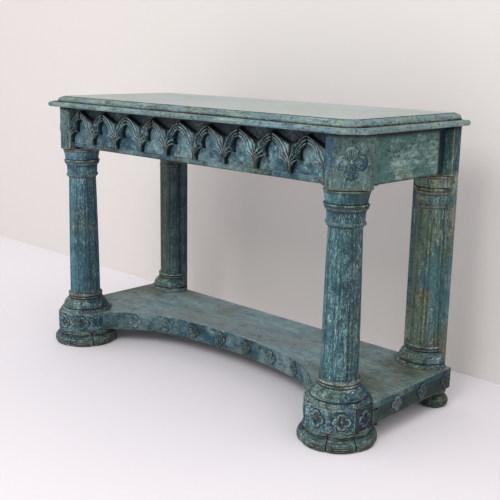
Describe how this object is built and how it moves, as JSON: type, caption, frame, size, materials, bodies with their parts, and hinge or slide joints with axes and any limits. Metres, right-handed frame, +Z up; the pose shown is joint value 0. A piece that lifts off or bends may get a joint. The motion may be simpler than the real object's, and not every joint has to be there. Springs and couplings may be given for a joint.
{
  "type": "pier table",
  "caption": "Gothic Revival pier table of painted wood: moulded top, cusped arcade frieze, octagonal columns and a low platform with a hollowed front.",
  "frame": {"origin": "on the floor, in the middle of the table's footprint", "axes": "+Z up, +Y towards the wall behind the table, +X to the right of a person who faces its front"},
  "size_m": [1.426, 0.57, 0.9],
  "materials": {
    "top_paint": "worn satin paint",
    "lip_paint": "worn satin paint",
    "tracery_paint": "dry-brushed worn paint",
    "frieze_paint": "dry-brushed worn paint",
    "block_paint": "dry-brushed worn paint",
    "column_paint": "dry-brushed worn paint",
    "platform_paint": "worn satin paint",
    "carving_paint": "dry-brushed worn paint",
    "plinth_paint": "dry-brushed worn paint",
    "foot_paint": "dry-brushed worn paint",
    "inner_wood": "unpainted, aged"
  },
  "bodies": {
    "root": {"back_foot_left": "foot_paint", "back_foot_right": "foot_paint", "back_rail": "inner_wood", "block_carvings": "carving_paint", "corner_block_left": "block_paint", "corner_block_right": "block_paint", "frieze_band": "frieze_paint", "frieze_board": "frieze_paint", "front_base_left": "column_paint", "front_base_right": "column_paint", "front_capital_left": "column_paint", "front_capital_right": "column_paint", "front_edge_carvings": "carving_paint", "front_foot_left": "foot_paint", "front_foot_right": "foot_paint", "front_shaft_left": "column_paint", "front_shaft_right": "column_paint", "glue_blocks": "inner_wood", "lip_corner_left": "lip_paint", "lip_corner_right": "lip_paint", "lip_front": "lip_paint", "lip_left": "lip_paint", "lip_right": "lip_paint", "pilaster_left": "column_paint", "pilaster_right": "column_paint", "platform_back_rail": "platform_paint", "platform_bearer": "inner_wood", "platform_board": "platform_paint", "platform_front_rail": "platform_paint", "platform_side_rail_left": "platform_paint", "platform_side_rail_right": "platform_paint", "plinth_left": "plinth_paint", "plinth_right": "plinth_paint", "rear_base_left": "column_paint", "rear_base_right": "column_paint", "rear_block_left": "frieze_paint", "rear_block_right": "frieze_paint", "rear_capital_left": "column_paint", "rear_capital_right": "column_paint", "rear_shaft_left": "column_paint", "rear_shaft_right": "column_paint", "side_apron_left": "frieze_paint", "side_apron_right": "frieze_paint", "side_edge_carvings": "carving_paint", "side_rail_left": "inner_wood", "side_rail_right": "inner_wood", "top_bearer_left": "inner_wood", "top_bearer_right": "inner_wood", "top_board": "top_paint", "tracery_strip": "tracery_paint"}
  },
  "joints": []
}
